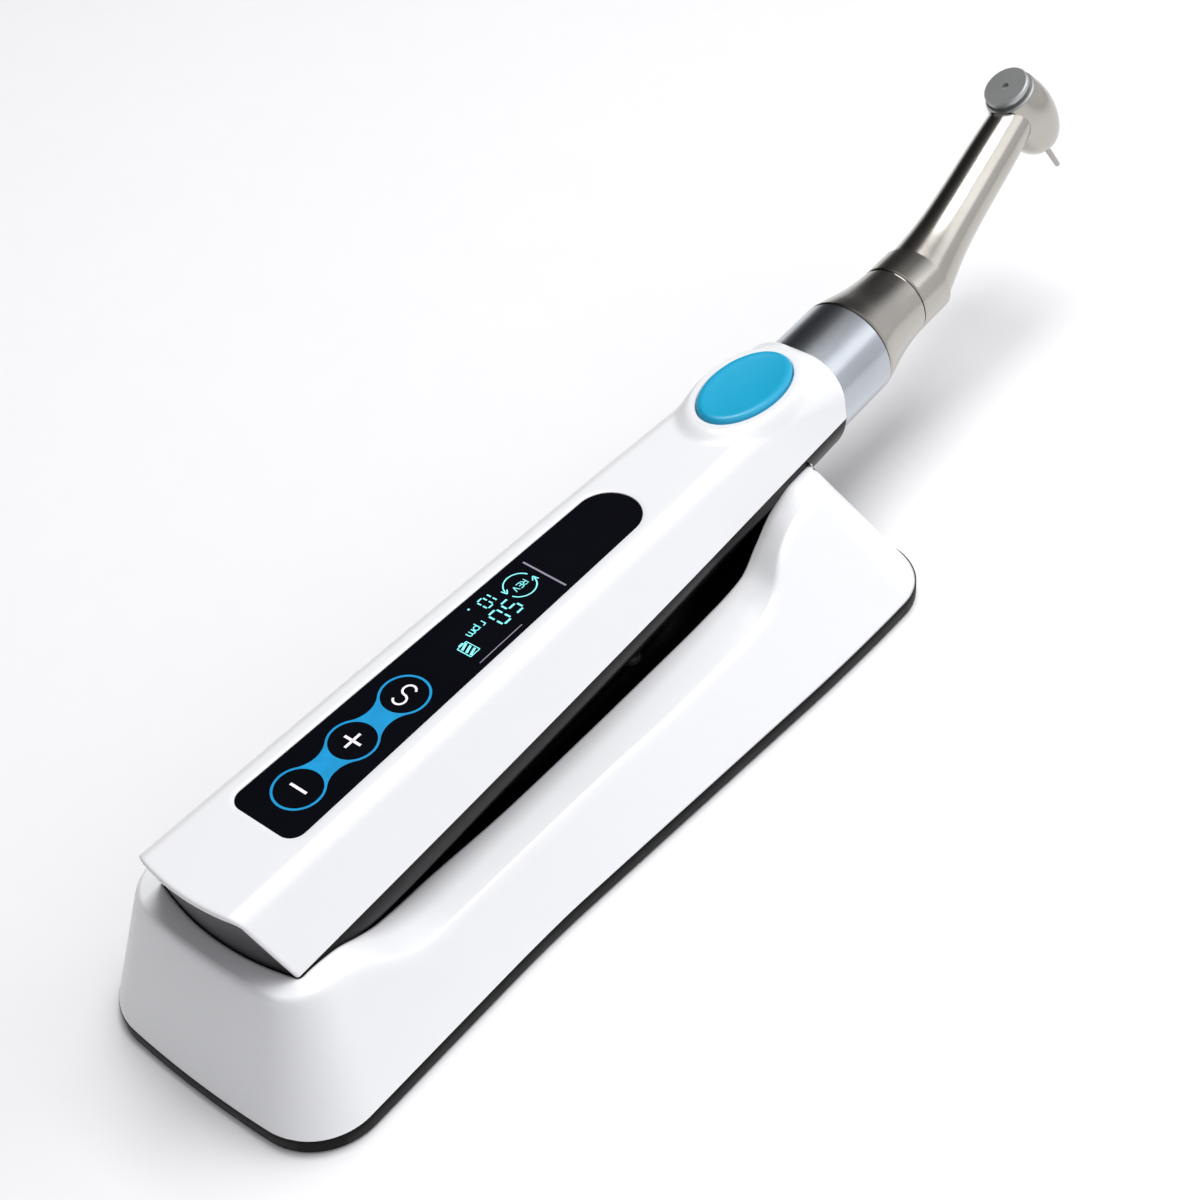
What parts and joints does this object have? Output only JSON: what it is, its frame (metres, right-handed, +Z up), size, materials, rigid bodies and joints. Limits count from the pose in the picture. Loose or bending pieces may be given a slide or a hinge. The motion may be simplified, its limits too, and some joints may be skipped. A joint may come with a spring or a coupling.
{
  "type": "cordless endodontic motor",
  "caption": "Cordless endodontic motor with keys, a display and a contra-angle head, lying in its charging cradle.",
  "frame": {"origin": "on the table, under the middle of the cradle's underside", "axes": "+X towards the contra-angle head, +Y the handpiece's left, +Z up"},
  "size_m": [0.2364, 0.0596, 0.0524],
  "materials": {
    "white_gloss": "smooth glossy white shell",
    "black_gloss": "piano black, polished",
    "black_panel": "black display window, polished",
    "black_satin": "satin black",
    "mat_rubber": "matte black rubber",
    "dark_grey": "fine satin dark grey",
    "button_blue": "satin cyan blue",
    "board_green": "solder mask green",
    "component_black": "moulded component",
    "jack_black": "moulded socket",
    "contact_gold": "gold plated contact",
    "ballast_iron": "raw casting",
    "screw_steel": "zinc plated",
    "spring_steel": "drawn wire",
    "cell_sleeve": "shrink sleeve",
    "tray_plastic": "moulded tray",
    "motor_metal": "turned can",
    "nose_metal": "satin turned metal",
    "angle_steel": "satin stainless steel",
    "cap_steel": "radially brushed steel",
    "gear_steel": "hardened steel",
    "bearing_bronze": "sintered bronze",
    "bur_steel": "polished steel"
  },
  "bodies": {
    "cradle": {"cradle_shell": "white_gloss", "cradle_liner": "black_gloss", "cradle_plate": "black_satin", "anti_slip_mat": "mat_rubber", "cradle_screws": "screw_steel", "charge_board": "board_green", "ballast_bars": "ballast_iron", "charging_inlet": "jack_black", "inlet_pin": "screw_steel", "pin_holder": "component_black", "pin_spring_left": "spring_steel", "pin_spring_right": "spring_steel"},
    "left_charge_pin": {"charge_pin_left": "contact_gold"},
    "right_charge_pin": {"charge_pin_right": "contact_gold"},
    "handpiece": {"upper_shell": "white_gloss", "lower_shell": "black_gloss", "rear_cap": "dark_grey", "shell_screws": "screw_steel", "contact_block": "component_black", "contact_pads": "contact_gold", "display_panel": "black_panel", "key_mat": "tray_plastic", "display_module": "component_black", "main_board": "board_green", "buzzer": "component_black", "switch_board": "board_green", "start_switch": "component_black", "battery_cell": "cell_sleeve", "battery_terminals": "spring_steel", "battery_tray": "tray_plastic", "motor_can": "motor_metal", "motor_clamp": "tray_plastic", "nose_sleeve": "nose_metal", "front_bearing": "bearing_bronze"},
    "minus_key": {"key_minus": "black_panel"},
    "plus_key": {"key_plus": "black_panel"},
    "s_key": {"key_s": "black_panel"},
    "start_button": {"start_button": "button_blue"},
    "rotor": {"motor_shaft": "gear_steel", "drive_shaft": "gear_steel"},
    "contra_angle": {"contra_barrel": "angle_steel", "barrel_bearings": "bearing_bronze", "contra_neck": "angle_steel", "neck_bushes": "bearing_bronze", "head_housing": "angle_steel", "cap_ring": "cap_steel", "spindle_bushes": "bearing_bronze", "cap_spring": "spring_steel"},
    "neck_shaft": {"neck_shaft": "gear_steel"},
    "chuck": {"chuck_spindle": "gear_steel", "bur": "bur_steel"},
    "push_cap": {"push_cap": "cap_steel"}
  },
  "joints": [
    {"name": "handpiece_lift", "type": "slide", "parent": "cradle", "child": "handpiece", "axis": [0, 0, 1], "range_m": [0, 0.06]},
    {"name": "left_pin_press", "type": "slide", "parent": "cradle", "child": "left_charge_pin", "axis": [0, 0, -1], "range_m": [0, 0.0007], "stiffness_N_per_m": 300, "deforming": ["pin_spring_left"]},
    {"name": "right_pin_press", "type": "slide", "parent": "cradle", "child": "right_charge_pin", "axis": [0, 0, -1], "range_m": [0, 0.0007], "stiffness_N_per_m": 300, "deforming": ["pin_spring_right"]},
    {"name": "minus_key_press", "type": "slide", "parent": "handpiece", "child": "minus_key", "axis": [0, 0, -1], "range_m": [0, 0.0003], "stiffness_N_per_m": 2000},
    {"name": "plus_key_press", "type": "slide", "parent": "handpiece", "child": "plus_key", "axis": [0, 0, -1], "range_m": [0, 0.0003], "stiffness_N_per_m": 2000},
    {"name": "s_key_press", "type": "slide", "parent": "handpiece", "child": "s_key", "axis": [0, 0, -1], "range_m": [0, 0.0003], "stiffness_N_per_m": 2000},
    {"name": "start_button_press", "type": "slide", "parent": "handpiece", "child": "start_button", "axis": [0, 0, -1], "range_m": [0, 0.0006], "stiffness_N_per_m": 1500},
    {"name": "motor_spin", "type": "hinge", "parent": "handpiece", "child": "rotor", "pos_m": [0.075, 0, 0.0281], "axis": [0.9981, 0, 0.061], "continuous": true},
    {"name": "contra_swivel", "type": "hinge", "parent": "handpiece", "child": "contra_angle", "pos_m": [0.075, 0, 0.0281], "axis": [0.9981, 0, 0.061], "continuous": true},
    {"name": "neck_spin", "type": "hinge", "parent": "contra_angle", "child": "neck_shaft", "pos_m": [0.11193, 0, 0.03036], "axis": [0.9403, 0.0735, 0.3324], "continuous": true},
    {"name": "chuck_spin", "type": "hinge", "parent": "contra_angle", "child": "chuck", "pos_m": [0.15208, 0.00314, 0.04455], "axis": [-0.4753, 0.2346, 0.848], "continuous": true},
    {"name": "cap_press", "type": "slide", "parent": "contra_angle", "child": "push_cap", "axis": [0.4753, -0.2346, -0.848], "range_m": [0, 0.0007], "stiffness_N_per_m": 1500, "deforming": ["cap_spring"]}
  ],
  "couplings": [
    {"joint": "neck_spin", "follows": "motor_spin", "ratio": 1},
    {"joint": "chuck_spin", "follows": "motor_spin", "ratio": -0.5}
  ]
}
